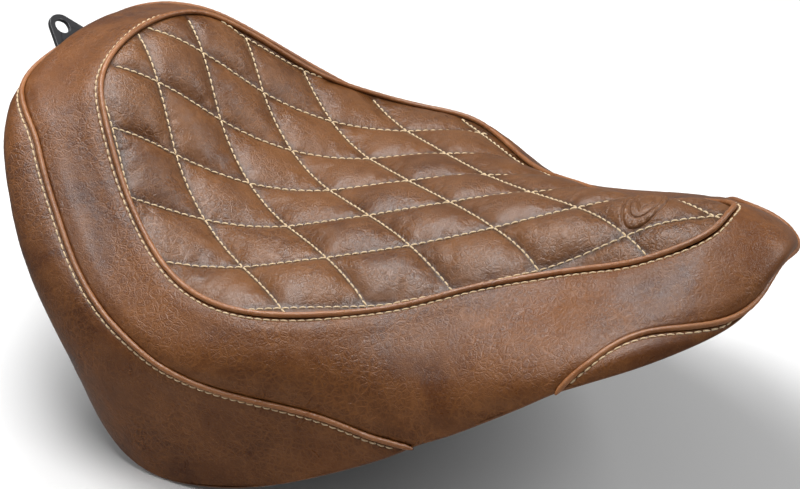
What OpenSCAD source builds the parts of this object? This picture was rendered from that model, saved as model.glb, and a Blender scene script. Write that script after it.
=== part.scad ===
// Solo motorcycle seat with a diamond-quilted insert.
// Millimetres. +X points to the nose, +Y to the rider's left, +Z up.
// The origin is the centre of the rear bracket's bolt hole.

/* [Seat] */
// Length of the upholstered body, nose to tail
seat_length = 498; // [470:2:530]
// Overall width at the widest place
seat_width = 350; // [330:2:370]
// Height from the lowest hem to the top of the tail
seat_height = 210; // [195:1:225]

/* [Covers] */
// Thickness of the leather covers
cover_t = 1.6; // [1.2:0.1:2.4]
// Diameter of the piping in the three seams
welt_d = 4; // [3:0.5:5]
// Thickness of the sewing foam behind the quilted insert
quilt_foam_t = 8; // [6:1:10]
// Width of the strip that pulls the cover round the pan
hem_strip_w = 20; // [14:1:24]
// Number of staples round the hem
staple_count = 44; // [22:2:66]

/* [Base pan] */
// Wall thickness of the moulded pan
pan_t = 3; // [2.5:0.5:4]
// Rise of the channel roof at its centre line
channel_arch = 6; // [3:1:10]
// Depth of the two stiffening ribs
rib_depth = 7; // [4:1:9]
// Thickness of the channel carpet
carpet_t = 2.4; // [1.5:0.1:3]

/* [Rear bracket] */
// Slope of the bracket plate, degrees to the horizontal
bracket_slope = 42; // [40:1:44]
// Thickness of the bracket plate
bracket_t = 3; // [2.5:0.5:4]
// Diameter of the hole in the bracket's tip
tip_hole_d = 10.5; // [8.5:0.5:11]
// Radius of the bracket's rounded tip
tip_r = 9.5; // [9:0.5:12]
// Width of the bracket where it is bolted on
bracket_w = 44; // [40:1:48]
// Distance from the tip hole to the first slot
first_slot = 62; // [60:1:64]
// Distance between the two slots
slot_pitch = 32; // [30:1:34]
// Travel of the bracket each way from its middle
bracket_travel = 6; // [4:1:6]
// Diameter of the clamping bolts
bolt_d = 6; // [5:1:6]

/* [Front tongue] */
// Width of the tongue
tongue_w = 38; // [32:1:44]
// Length of the tongue
tongue_len = 66; // [60:1:68]
// Thickness of the tongue
tongue_t = 3; // [2:0.5:4]

/* [Bumpers] */
// Diameter of a rubber bumper
bumper_d = 28; // [24:1:30]
// Height of a rubber bumper
bumper_h = 10; // [8:1:14]

/* [Hidden] */

// The body's lines. Each list runs from the nose to the tail through twelve stations on the
// left half, and the right half is its mirror image.
LAST = 11;
NOMINAL = [498, 350, 210];
stretch = [seat_length / NOMINAL.x, seat_width / NOMINAL.y, seat_height / NOMINAL.z];

// Seam between the quilted insert and the side band
seam_line = [
    [473, 0, -9], [467, 22, -15], [436, 40, -31], [395, 48, -46],
    [349, 71, -58], [302, 101, -72], [240, 141, -72], [185, 137, -70],
    [136, 111, -51], [98, 83, -17], [73, 53, 7], [65, 0, 15]
];
// Height of the insert on the centre line, at each station's seam
crown_line = [-9, -12, -14, -25, -38, -48, -60, -66, -47, -5, 13, 15];
// Lower edge of the covers
hem_line = [
    [502, 0, -37], [502, 44, -46], [469, 90, -59], [424, 118, -78],
    [380, 131, -108], [318, 145, -148], [239, 161, -185], [164, 166, -193],
    [108, 147, -150], [72, 114, -94], [40, 68, -46], [25, 0, -17]
];
// Edge of the channel roof under the pan
rail_line = [
    [476, 0, -40], [474, 22, -45], [451, 45, -53], [413, 62, -65],
    [373, 76, -82], [313, 90, -106], [241, 98, -130], [175, 98, -140],
    [125, 88, -114], [85, 72, -78], [55, 45, -44], [43, 0, -32]
];
// How far the side's curve leaves the seam, and how steeply it falls there
top_reach = [50, 33, 24, 20, 22, 31, 44, 56, 64, 64, 57, 44];
top_fall = [0.16, 0.30, 0.44, 0.58, 0.66, 0.68, 0.64, 0.52, 0.44, 0.38, 0.30, 0.18];
// How far the side's curve rises from the hem, and how much it leans outwards there
low_reach = [11, 5, 10, 21, 37, 56, 73, 84, 84, 73, 52, 24];
low_lean = [1.15, 0.85, 0.55, 0.25, 0.05, -0.10, -0.10, 0.10, 0.40, 0.70, 0.90, 0.95];
// Where the nose and rear skirts meet the band: 0 at the seam, 1 at the hem, every half station.
// Above 1 there is no skirt.
skirt_line = [
    0.88, 0.88, 0.86, 0.70, 0.58, 0.68, 1.00, 1.20, 1.25, 1.04, 0.89, 0.69,
    0.55, 0.45, 0.35, 0.315, 0.28, 0.26, 0.27, 0.29, 0.45, 0.62, 0.72
];

// Mesh rows along one half of the outline, and round the whole of it
HALF_ROWS = 33;
ROWS = 2 * HALF_ROWS;
CAP_COLUMNS = 10;
BAND_COLUMNS = 7;
SKIRT_COLUMNS = 7;
UNDER_COLUMNS = 3;
NOSE_SKIRT_END = 9;
REAR_SKIRT_START = 14;

// Gap that keeps two layers apart
gap = 0.25;
welt_r = welt_d / 2;
// Depths below the outer skin where the inner layers start
quilt_foam_top = cover_t + gap;
insert_bun_top = quilt_foam_top + quilt_foam_t + 2 * gap;
band_bun_top = cover_t + 3 * gap;
// How far inside the hem the pan's edge and the foam's lower edge stay
pan_inset = 8;
bun_end = 0.92;
bun_taper = 2.2;
pan_gap = 0.8;
step = 0.05;

function flip(p) = is_list(p) ? [p.x, -p.y, p.z] : p;

// Smooth curve through a list of stations on one half
function along(list, s) =
    let (
        last = len(list) - 1,
        i = min(floor(s), last - 1),
        f = s - i,
        a = i > 0 ? list[i - 1] : flip(list[1]),
        b = list[i],
        c = list[i + 1],
        d = i + 2 <= last ? list[i + 2] : flip(list[last - 1])
    )
    0.5 * (2 * b + (c - a) * f + (2 * a - 5 * b + 4 * c - d) * f * f
        + (3 * b - a - 3 * c + d) * f * f * f);

// The same curve carried round both halves; s runs from 0 to twice the last station
function around(list, s) =
    let (last = len(list) - 1)
    s < 0 ? flip(along(list, -s)) : s <= last ? along(list, s) : flip(along(list, 2 * last - s));

function sized(p) = [p.x * stretch.x, p.y * stretch.y, p.z * stretch.z];
function unit(v) = v / norm(v);
function wrap(i) = (i + ROWS) % ROWS;
function station(i) = LAST * i / HALF_ROWS;

// Outward direction in plan at station s
function outward(list, s) =
    let (t = around(list, s + step) - around(list, s - step))
    unit([t.y, -t.x, 0]);

// Guide points, one for each mesh row
seam = [for (i = [0:ROWS - 1]) sized(around(seam_line, station(i)))];
hem = [for (i = [0:ROWS - 1]) sized(around(hem_line, station(i)))];
rail = [for (i = [0:ROWS - 1]) sized(around(rail_line, station(i)))];
seam_out = [for (i = [0:ROWS - 1]) outward(seam_line, station(i))];
hem_out = [for (i = [0:ROWS - 1]) outward(hem_line, station(i))];
top_handle = [
    for (i = [0:ROWS - 1])
        let (s = station(i), reach = around(top_reach, s))
        seam[i] + reach * (seam_out[i] - [0, 0, around(top_fall, s)])
];
low_handle = [
    for (i = [0:ROWS - 1])
        let (s = station(i), reach = around(low_reach, s))
        hem[i] + reach * (around(low_lean, s) * hem_out[i] + [0, 0, 1])
];
crown_rise = [
    for (i = [0:HALF_ROWS]) stretch.z * along(crown_line, station(i)) - seam[i].z
];
side_length = [for (i = [0:ROWS - 1]) 1.15 * norm(seam[i] - hem[i])];
skirt_at = [for (i = [0:ROWS - 1]) around(skirt_line, 2 * station(i))];

// A point on the side, from v = 0 at the seam to v = 1 at the hem
function side(i, v) =
    pow(1 - v, 3) * seam[i] + 3 * v * pow(1 - v, 2) * top_handle[i]
    + 3 * v * v * (1 - v) * low_handle[i] + pow(v, 3) * hem[i];

function side_normal(i, v) =
    unit(cross(side(wrap(i + 1), v) - side(wrap(i - 1), v), side(i, v - step) - side(i, v + step)));

function side_at(i, v, depth) = side(i, v) - depth * side_normal(i, v);

// A point on the pan's underside, from q = 0 at the hem to q = 1 at the channel roof
function under(i, q) =
    let (p = hem[i] + q * (rail[i] - hem[i]))
    [p.x, p.y, hem[i].z + (rail[i].z - hem[i].z) * sin(90 * q)];

function under_normal(i, q) =
    unit(cross(under(wrap(i + 1), q) - under(wrap(i - 1), q), under(i, q - step) - under(i, q + step)));

function under_at(i, q, height) = under(i, q) - height * under_normal(i, q);

function pan_start(i) = pan_inset / norm(rail[i] - hem[i]);

// A cap spans a closed loop from side to side in rows, raised by rise at its centre line
function cap(loop, rise) = [
    for (i = [0:HALF_ROWS])
        let (a = loop[i], b = loop[wrap(ROWS - i)])
        [
            for (j = [0:CAP_COLUMNS])
                let (w = j / CAP_COLUMNS)
                j == 0 ? a : j == CAP_COLUMNS ? b
                    : a + w * (b - a) + [0, 0, rise[i] * (1 - pow(2 * w - 1, 2))]
        ]
];

function cap_normal(rows, i, j) =
    let (
        r = max(1, min(HALF_ROWS - 1, i)),
        c = r == i ? max(1, min(CAP_COLUMNS - 1, j)) : CAP_COLUMNS / 2
    )
    unit(cross(rows[r + 1][c] - rows[r - 1][c], rows[r][c + 1] - rows[r][c - 1]));

// The same cap moved along its normals, with its edge given
function sunk_cap(rows, edge, depth) = [
    for (i = [0:HALF_ROWS])
        [
            for (j = [0:CAP_COLUMNS])
                i == 0 || j == 0 ? edge[i]
                    : i == HALF_ROWS ? edge[HALF_ROWS]
                    : j == CAP_COLUMNS ? edge[wrap(ROWS - i)]
                    : rows[i][j] - depth * cap_normal(rows, i, j)
        ]
];

// Triangles of a grid of points, leaving out those with no area
function triangles(grid, closed = false) = [
    for (i = [0:len(grid) - (closed ? 1 : 2)], j = [0:len(grid[0]) - 2])
        let (
            next = (i + 1) % len(grid),
            a = grid[i][j], b = grid[next][j], c = grid[next][j + 1], d = grid[i][j + 1]
        )
        each [if (a != b && b != c && a != c) [a, b, c], if (a != c && c != d && a != d) [a, c, d]]
];

function turned(tris) = [for (t = tris) [t[0], t[2], t[1]]];

// Wall between two loops of the same length
function wall(upper, lower, closed = true) =
    triangles([for (i = [0:len(upper) - 1]) [upper[i], lower[i]]], closed);

// Closed solid from its triangles
module solid(tris) {
    points = [for (t = tris, p = t) p];
    faces = [for (k = [0:len(tris) - 1]) [3 * k, 3 * k + 1, 3 * k + 2]];
    polyhedron(points, faces);
}

// Solid between two grids of the same size
module between(outer, inner, closed = false) {
    last = len(outer[0]) - 1;
    ends = closed ? [] : concat(
        turned(triangles([outer[0], inner[0]])),
        triangles([outer[len(outer) - 1], inner[len(inner) - 1]])
    );
    solid(concat(
        triangles(outer, closed),
        turned(triangles(inner, closed)),
        turned(wall([for (r = outer) r[0]], [for (r = inner) r[0]], closed)),
        wall([for (r = outer) r[last]], [for (r = inner) r[last]], closed),
        ends
    ));
}

// Solid between two caps whose edges are the given loops
module cap_solid(upper, lower, upper_edge, lower_edge) {
    solid(concat(turned(triangles(upper)), triangles(lower), wall(upper_edge, lower_edge)));
}

// Grid of side points between two v values, which are given for each row
function side_grid(from, to, first, last, columns, depth) = [
    for (i = [first:last])
        let (k = wrap(i))
        [for (j = [0:columns]) side_at(k, from[k] + (to[k] - from[k]) * j / columns, depth)]
];

band_from = [for (i = [0:ROWS - 1]) welt_r / (3 * norm(top_handle[i] - seam[i]))];
band_to = [for (i = [0:ROWS - 1]) min(1, skirt_at[i] - welt_r / side_length[i])];
skirt_from = [for (i = [0:ROWS - 1]) min(0.985, skirt_at[i] + welt_r / side_length[i])];
full = [for (i = [0:ROWS - 1]) 1];

// Edge of the insert, inside the welt, and the insert's own surface
insert_edge = [for (i = [0:ROWS - 1]) seam[i] - welt_r * seam_out[i]];
insert_skin = cap(insert_edge, crown_rise);

function insert_edge_at(depth) = [
    for (i = [0:ROWS - 1])
        let (k = i <= HALF_ROWS ? i : ROWS - i)
        insert_edge[i] - depth * cap_normal(insert_skin, k, i <= HALF_ROWS ? 0 : CAP_COLUMNS)
];

module insert_layer(top, bottom) {
    upper = insert_edge_at(top);
    lower = insert_edge_at(bottom);
    cap_solid(sunk_cap(insert_skin, upper, top), sunk_cap(insert_skin, lower, bottom), upper, lower);
}

module quilt_cover() color("saddlebrown") insert_layer(0, cover_t);

module quilt_foam() color("khaki")
    insert_layer(quilt_foam_top, quilt_foam_top + quilt_foam_t);

module side_band() color("sienna")
    between(
        side_grid(band_from, band_to, 0, ROWS - 1, BAND_COLUMNS, 0),
        side_grid(band_from, band_to, 0, ROWS - 1, BAND_COLUMNS, cover_t),
        closed = true
    );

module skirt(first, last)
    between(
        side_grid(skirt_from, full, first, last, SKIRT_COLUMNS, 0),
        side_grid(skirt_from, full, first, last, SKIRT_COLUMNS, cover_t)
    );

module rear_skirt() color("saddlebrown") skirt(REAR_SKIRT_START, ROWS - REAR_SKIRT_START);

module nose_skirt() color("saddlebrown") skirt(-NOSE_SKIRT_END, NOSE_SKIRT_END);

// Round cord swept along a path
module cord(path, radius, closed = false, sides = 8) {
    count = len(path);
    rings = [
        for (i = [0:count - 1])
            let (
                a = path[closed ? (i + count - 1) % count : max(i - 1, 0)],
                b = path[closed ? (i + 1) % count : min(i + 1, count - 1)],
                t = unit(b - a),
                u = unit(cross(t, [0, 0, 1])),
                w = cross(u, t)
            )
            [for (k = [0:sides]) path[i] + radius * (cos(360 * k / sides) * u + sin(360 * k / sides) * w)]
    ];
    closed_rings = [for (r = rings) [for (k = [0:sides]) r[k % sides]]];
    ends = closed ? [] : [
        for (k = [1:sides - 2])
            each [
                [closed_rings[0][0], closed_rings[0][k + 1], closed_rings[0][k]],
                [closed_rings[count - 1][0], closed_rings[count - 1][k], closed_rings[count - 1][k + 1]]
            ]
    ];
    solid(concat(turned(triangles(closed_rings, closed)), ends));
}

// The piping stands half its radius proud of the skin
welt_sink = welt_r / 2;

module insert_welt() color("peru")
    cord([for (i = [0:ROWS - 1]) side_at(i, 0, welt_sink)], welt_r, closed = true);

function skirt_seam(first, last) = [
    for (i = [first:last]) side_at(wrap(i), skirt_at[wrap(i)], welt_sink)
];

module rear_welt() color("peru")
    cord(skirt_seam(REAR_SKIRT_START + 1, ROWS - REAR_SKIRT_START - 1), welt_r);

module nose_welt() color("peru")
    cord(skirt_seam(1 - NOSE_SKIRT_END, NOSE_SKIRT_END - 1), welt_r);

// Frame of the bracket: its plate lies in this frame's XY plane, +X runs forward and down
module on_bracket() rotate([0, bracket_slope, 0]) children();

boss_to = first_slot + slot_pitch + 14;
boss_half_w = bracket_w / 2 + 2;
boss_d = 30;
boss_bottom = bracket_t / 2 + 0.3;
boss_top = 12;
backing_t = 2.5;
backing_w = 26;
backing_lap = 7.5;
bracket_room_d = 76;
washer_t = 1.6;
bolt_places = [first_slot, first_slot + slot_pitch];

// Tongue and bumper places
tongue_back = 398 * stretch.x;
tongue_top = -64;
tongue_boss = [tongue_back + 2, 44, 24];
rivet_places = [for (x = [12, 34], y = [-11, 11]) [tongue_back + x, y]];
rivet_d = 4.8;
bumper_places = [
    for (y = [-1, 1]) each [[362 * stretch.x, y * 44, -96], [252 * stretch.x, y * 60, -140]]
];
screw_d = 4.8;
screw_reach = 18;
boss_height = 26;

// Two round bosses stand on the pan, one for each clamping bolt
module bracket_bosses()
    on_bracket()
        for (x = bolt_places)
            translate([x, 0, boss_bottom]) cylinder(d = boss_d, h = boss_top - boss_bottom, $fn = 48);

module tongue_boss_block(grow = 0)
    translate([tongue_boss.x - grow, -tongue_w / 2 - 3 - grow, tongue_top])
        cube([tongue_boss.y + 2 * grow, tongue_w + 6 + 2 * grow, tongue_boss.z + grow]);

module bumper_boss(place, grow = 0)
    translate([place.x, place.y, place.z])
        cylinder(d = bumper_d + 4 + 2 * grow, h = boss_height + grow, $fn = 48);

// Round room in the foam for the bosses, the backing plate and the ends of the bolts
module bracket_room()
    on_bracket()
        translate([first_slot + slot_pitch / 2, 0, boss_bottom - 1])
            cylinder(d = bracket_room_d, h = boss_top + 14 - boss_bottom, $fn = 64);

module tongue_room()
    translate([tongue_back - 2, -tongue_w / 2 - 6, tongue_top + tongue_boss.z])
        cube([tongue_boss.y + 8, tongue_w + 12, 7]);

keel_rise = [for (i = [0:HALF_ROWS]) channel_arch];

function pan_ring(height) = [
    for (i = [0:ROWS - 1])
        [
            for (j = [0:UNDER_COLUMNS])
                let (w = j / UNDER_COLUMNS)
                under_at(i, j == UNDER_COLUMNS ? 1 : pan_start(i) + (1 - pan_start(i)) * w, height)
        ]
];

function pan_cap(height) =
    let (edge = [for (i = [0:ROWS - 1]) under_at(i, 1, height)])
    sunk_cap(cap(rail, keel_rise), edge, -height);

module pan_shell(height, bottom = 0) {
    outer = pan_ring(bottom);
    inner = pan_ring(height);
    solid(concat(
        triangles(outer, closed = true),
        turned(triangles(inner, closed = true)),
        triangles(pan_cap(bottom)),
        turned(triangles(pan_cap(height))),
        wall([for (r = inner) r[0]], [for (r = outer) r[0]])
    ));
}

// Relief in the foam over the front end of the pan
module nose_relief()
    translate([rail[0].x - 12, -28, rail[0].z - 14]) cube([20, 56, 20]);

module foam_bun() color("palegoldenrod")
    difference() {
        side_rows = [
            for (i = [0:ROWS - 1])
                let (start = 2.5 * band_from[i])
                [
                    for (j = [0:BAND_COLUMNS + 1])
                        let (w = (j - 1) / BAND_COLUMNS)
                        j == 0 ? insert_edge_at(insert_bun_top)[i]
                            : side_at(i, start + (bun_end - start) * w, band_bun_top + bun_taper * w)
                ]
        ];
        under_rows = [
            for (i = [0:ROWS - 1])
                let (ring = pan_ring(pan_t + pan_gap)[i], last = len(side_rows[i]) - 1)
                concat([side_rows[i][last]], [for (j = [0:UNDER_COLUMNS]) ring[j]])
        ];
        edge = [for (r = side_rows) r[0]];
        solid(concat(
            turned(triangles(sunk_cap(insert_skin, edge, insert_bun_top))),
            triangles(side_rows, closed = true),
            triangles(under_rows, closed = true),
            triangles(pan_cap(pan_t + pan_gap))
        ));
        bracket_room();
        nose_relief();
        tongue_boss_block(1);
        tongue_room();
        for (place = bumper_places) bumper_boss(place, 1);
    }

// Holes through the pan, its bosses and what is bolted to them
module bolt_holes(extra) on_bracket() bolt_bores(extra);

module rivet_holes(extra)
    for (place = rivet_places)
        translate([place.x, place.y, tongue_top - 20]) cylinder(d = rivet_d + extra, h = 60, $fn = 32);

module screw_holes(extra)
    for (place = bumper_places)
        translate([place.x, place.y, place.z - bumper_h - 10])
            cylinder(d = screw_d + extra, h = bumper_h + 10 + screw_reach, $fn = 32);

// A rib follows the channel roof at a fixed distance from the centre line
rib_rows = [14:20];
rib_y = 24;
rib_w = 3;

function roof_at(i, y) =
    let (row = pan_cap(0)[i], half = row[0].y, w = (half - y) / (2 * half))
    [row[0].x, row[0].z + channel_arch * (1 - pow(2 * w - 1, 2))];

module rib(y) {
    roof = [for (i = rib_rows) roof_at(i, y)];
    count = len(roof);
    translate([0, y + rib_w / 2, 0])
        rotate([90, 0, 0])
            linear_extrude(height = rib_w)
                polygon(concat(
                    [for (p = roof) p + [0, pan_t / 2]],
                    [
                        for (k = [count - 1:-1:0])
                            roof[k] - [0, k == 0 || k == count - 1 ? -pan_t / 4 : rib_depth]
                    ]
                ));
}

// The pan leaves room for the bracket's edges
module bracket_way()
    on_bracket()
        translate([30, -bracket_w / 2 - 1, plate_bottom - 2])
            cube([40, bracket_w + 2, bracket_t + 2.2]);

module base_pan() color("#202022")
    difference() {
        union() {
            pan_shell(pan_t);
            bracket_bosses();
            tongue_boss_block();
            for (place = bumper_places) bumper_boss(place);
            for (y = [-rib_y, rib_y]) rib(y);
        }
        bolt_holes(0.6);
        rivet_holes(0.2);
        screw_holes(0.2);
        bracket_way();
    }

// The strip lies under the pan's edge, from just inside the hem
strip_inset = 2.6;
strip_gap = 0.7;
strip_t = 1.2;

function strip_grid(height) = [
    for (i = [0:ROWS - 1])
        let (reach = norm(rail[i] - hem[i]))
        [
            for (j = [0:UNDER_COLUMNS])
                under_at(i, (strip_inset + (hem_strip_w - strip_inset) * j / UNDER_COLUMNS) / reach, height)
        ]
];

module hem_strip() color("#2a2522")
    difference() {
        between(strip_grid(-strip_gap), strip_grid(-strip_gap - strip_t), closed = true);
        on_bracket() translate([-10, -boss_half_w - 2, -30]) cube([120, 2 * boss_half_w + 4, 50]);
    }

// A staple is a flat crown with two legs through the strip into the pan
staple_w = 9;
staple_wire = 1;

module staple() {
    translate([-staple_w / 2, -staple_wire / 2, 0]) cube([staple_w, staple_wire, 0.6]);
    for (x = [-1, 1])
        translate([x * (staple_w - staple_wire) / 2 - staple_wire / 2, -staple_wire / 2, -3])
            cube([staple_wire, staple_wire, 3.2]);
}

module hem_staples() color("silver")
    for (k = [0:staple_count - 1]) {
        i = round((k + 0.5) * ROWS / staple_count) % ROWS;
        q = 0.6 * hem_strip_w / norm(rail[i] - hem[i]);
        at = under_at(i, q, -strip_gap - strip_t);
        z = under_normal(i, q);
        x = unit(under(wrap(i + 1), q) - under(wrap(i - 1), q));
        y = cross(z, x);
        if (at.x > 45)
            multmatrix([[x.x, y.x, z.x, at.x], [x.y, y.y, z.y, at.y], [x.z, y.z, z.z, at.z], [0, 0, 0, 1]])
                staple();
    }

// The carpet lines the channel roof over the fender
carpet_rows = [21:29];
carpet_edge = 2;

function carpet_face(height) =
    let (rows = pan_cap(height))
    [for (i = carpet_rows) [for (j = [1:CAP_COLUMNS - 1]) rows[i][j]]];

module channel_carpet() color("#3a3a3c")
    difference() {
        between(carpet_face(-gap), carpet_face(-gap - carpet_t));
        on_bracket()
            translate([-10, -boss_half_w - carpet_edge, -40])
                cube([boss_to + bracket_travel + carpet_edge + 10, 2 * (boss_half_w + carpet_edge), 80]);
        for (place = bumper_places) bumper_boss([place.x, place.y, place.z - 20], carpet_edge);
    }

module rear_bracket() color("#1c1c1e")
    on_bracket()
        translate([0, 0, -bracket_t / 2])
            linear_extrude(height = bracket_t)
                difference() {
                    bracket_outline();
                    circle(d = tip_hole_d, $fn = 64);
                    for (x = bolt_places) slot(x);
                }

// The tab's round tip runs on into two tangents that spread to the full width
tab_spread = 27;
tip_steps = 24;
module bracket_outline() {
    first = 90 + tab_spread;
    tip = [
        for (k = [0:tip_steps])
            let (a = first + (360 - 2 * first) * k / tip_steps)
            tip_r * [cos(a), sin(a)]
    ];
    half = bracket_w / 2;
    wide = tip[0].x + (half - tip[0].y) / tan(tab_spread);
    end = boss_to - 2;
    chamfer = 5;
    polygon(concat(tip, [
        [wide, -half], [end - chamfer, -half], [end, chamfer - half],
        [end, half - chamfer], [end - chamfer, half], [wide, half]
    ]));
}

slot_w = bolt_d + 0.6;
module slot(x) {
    for (dx = [-bracket_travel, bracket_travel]) translate([x + dx, 0]) circle(d = slot_w, $fn = 48);
    translate([x - bracket_travel, -slot_w / 2]) square([2 * bracket_travel, slot_w]);
}

// Fasteners of the bracket, from the head below the plate to the nut above the backing plate
head_h = 4.5;
nut_h = 5.5;
plate_bottom = -bracket_t / 2;
backing_bottom = boss_top + gap / 2;
backing_top = backing_bottom + backing_t;
washer_gap = 0.05;

module bracket_bolts() color("dimgray")
    on_bracket()
        for (x = bolt_places)
            translate([x, 0, 0]) {
                top = backing_top + washer_t + nut_h + 3;
                under_head = plate_bottom - 0.2 - washer_t - washer_gap;
                translate([0, 0, under_head]) cylinder(d = bolt_d, h = top - under_head, $fn = 32);
                translate([0, 0, under_head - head_h]) {
                    cylinder(d = 10.4, h = head_h, $fn = 6);
                    translate([0, 0, head_h - 1.2]) cylinder(d = 12.5, h = 1.2, $fn = 48);
                }
            }

module ring(outer_d, inner_d, h)
    difference() {
        cylinder(d = outer_d, h = h, $fn = 48);
        translate([0, 0, -1]) cylinder(d = inner_d, h = h + 2, $fn = 32);
    }

module bracket_washers() color("silver")
    on_bracket()
        for (x = bolt_places) {
            translate([x, 0, plate_bottom - 0.2 - washer_t]) ring(16, bolt_d + 0.4, washer_t);
            translate([x, 0, backing_top + washer_gap]) ring(14, bolt_d + 0.4, washer_t - 0.2);
        }

module bracket_nuts() color("silver")
    on_bracket()
        for (x = bolt_places)
            translate([x, 0, backing_top + washer_t]) {
                difference() {
                    cylinder(d = 11.5, h = nut_h, $fn = 6);
                    translate([0, 0, -1]) cylinder(d = bolt_d + 0.04, h = nut_h + 2, $fn = 32);
                }
            }

module bracket_backing_plate() color("gray")
    on_bracket()
        difference() {
            translate([first_slot - backing_lap, -backing_w / 2, backing_bottom])
                cube([slot_pitch + backing_lap + backing_w / 2, backing_w, backing_t]);
            bolt_bores(0.4);
        }

module bolt_bores(extra)
    for (x = bolt_places) translate([x, 0, -20]) cylinder(d = bolt_d + extra, h = 60, $fn = 32);

// The tongue is flat, with a rounded tip that reaches forward under the nose
tongue_bottom = tongue_top - 0.2 - tongue_t;
tongue_lap = 4;

module front_tongue() color("#1c1c1e")
    translate([tongue_back, 0, tongue_bottom])
        linear_extrude(height = tongue_t)
            difference() {
                union() {
                    translate([tongue_lap, -tongue_w / 2])
                        square([tongue_len - tongue_w / 2 - tongue_lap, tongue_w]);
                    translate([tongue_len - tongue_w / 2, 0]) circle(d = tongue_w, $fn = 64);
                }
                for (place = rivet_places)
                    translate([place.x - tongue_back, place.y]) circle(d = rivet_d + 0.2, $fn = 32);
            }

tongue_plate_bottom = tongue_top + tongue_boss.z + gap / 2;

module tongue_backing_plate() color("gray")
    difference() {
        translate([tongue_back + 4, -tongue_w / 2 + 2, tongue_plate_bottom])
            cube([tongue_boss.y - 6, tongue_w - 4, 2]);
        rivet_holes(0.2);
    }

module tongue_rivets() color("silver")
    for (place = rivet_places)
        translate([place.x, place.y, tongue_bottom - 0.1]) {
            length = tongue_plate_bottom + 2.2 - tongue_bottom;
            cylinder(d = rivet_d, h = length, $fn = 32);
            translate([0, 0, -1.8]) cylinder(d1 = 6, d2 = 9, h = 1.8, $fn = 32);
            translate([0, 0, length]) cylinder(d1 = 7.5, d2 = 5.5, h = 1.8, $fn = 32);
        }

// Rubber bumpers with a recess for the screw's head
recess_d = 12;
recess_h = 5;

module bumper(place)
    translate([place.x, place.y, place.z - bumper_h - 0.1])
        difference() {
            cylinder(d = bumper_d, h = bumper_h, $fn = 64);
            translate([0, 0, -1]) cylinder(d = recess_d, h = recess_h + 1, $fn = 48);
            translate([0, 0, -1]) cylinder(d = screw_d + 0.4, h = bumper_h + 2, $fn = 32);
        }

front_places = [for (place = bumper_places) if (place.x > 300 * stretch.x) place];
rear_places = [for (place = bumper_places) if (place.x <= 300 * stretch.x) place];

module front_bumpers() color("#161616") for (place = front_places) bumper(place);

module rear_bumpers() color("#161616") for (place = rear_places) bumper(place);

module bumper_screws() color("silver")
    for (place = bumper_places)
        translate([place.x, place.y, place.z - bumper_h + recess_h - 0.2]) {
            cylinder(d = screw_d, h = screw_reach + bumper_h - recess_h - 1, $fn = 32);
            translate([0, 0, -3]) cylinder(d = 9.5, h = 3, $fn = 48);
        }

quilt_cover();
side_band();
rear_skirt();
nose_skirt();
insert_welt();
rear_welt();
nose_welt();
quilt_foam();
foam_bun();
base_pan();
hem_strip();
hem_staples();
channel_carpet();
rear_bracket();
bracket_bolts();
bracket_washers();
bracket_nuts();
bracket_backing_plate();
front_tongue();
tongue_rivets();
tongue_backing_plate();
front_bumpers();
rear_bumpers();
bumper_screws();
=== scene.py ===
"""Looks of a motorcycle solo seat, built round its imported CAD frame.

Metres, in the frame's own axes: +X to the nose, +Y to the rider's left, +Z up. The seams, the hem and the
dish are read from the CAD nodes; the leather, piping, thread and quilting are made on them.
"""

import math

import bmesh
import bpy
import numpy as np
from mathutils import Matrix, Vector
from mathutils.bvhtree import BVHTree
from mathutils.kdtree import KDTree


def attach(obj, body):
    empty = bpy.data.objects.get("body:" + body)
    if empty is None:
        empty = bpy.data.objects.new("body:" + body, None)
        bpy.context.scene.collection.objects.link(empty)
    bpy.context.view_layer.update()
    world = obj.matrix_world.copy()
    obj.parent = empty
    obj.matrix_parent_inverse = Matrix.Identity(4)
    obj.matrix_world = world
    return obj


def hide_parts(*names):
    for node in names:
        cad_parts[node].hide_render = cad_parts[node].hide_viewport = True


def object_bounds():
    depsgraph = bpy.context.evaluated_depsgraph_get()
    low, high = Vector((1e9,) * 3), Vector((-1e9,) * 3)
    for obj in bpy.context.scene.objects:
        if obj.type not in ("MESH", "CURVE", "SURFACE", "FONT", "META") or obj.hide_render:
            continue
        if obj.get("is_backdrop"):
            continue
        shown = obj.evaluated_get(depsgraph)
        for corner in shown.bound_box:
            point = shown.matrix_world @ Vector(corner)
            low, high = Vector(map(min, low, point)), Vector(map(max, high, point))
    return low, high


MM = 0.001
BOX_HEIGHT = 0.95  # soft boxes over the seat, facing down
CAMERA_TURN, CAMERA_RISE = math.radians(29.401), math.radians(30.776)
CAMERA_PLACE = (0.8041, -0.9687, 0.5694)
CAMERA_LENS = 91.73
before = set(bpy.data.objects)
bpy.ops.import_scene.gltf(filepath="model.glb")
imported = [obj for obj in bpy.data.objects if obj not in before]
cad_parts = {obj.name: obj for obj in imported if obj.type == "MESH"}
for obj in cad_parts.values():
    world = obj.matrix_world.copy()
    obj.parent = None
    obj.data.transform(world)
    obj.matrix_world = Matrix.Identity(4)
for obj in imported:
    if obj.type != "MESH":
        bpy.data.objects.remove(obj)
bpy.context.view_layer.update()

# Plan and seams
HUB = np.array([213, 0]) * MM  # every seam circles this point once
SEAM_ROWS = 66  # rings of the CAD piping round the insert
COLUMNS = 16 * SEAM_ROWS
PROFILE = 160
WELT_R = 1.7 * MM

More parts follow.
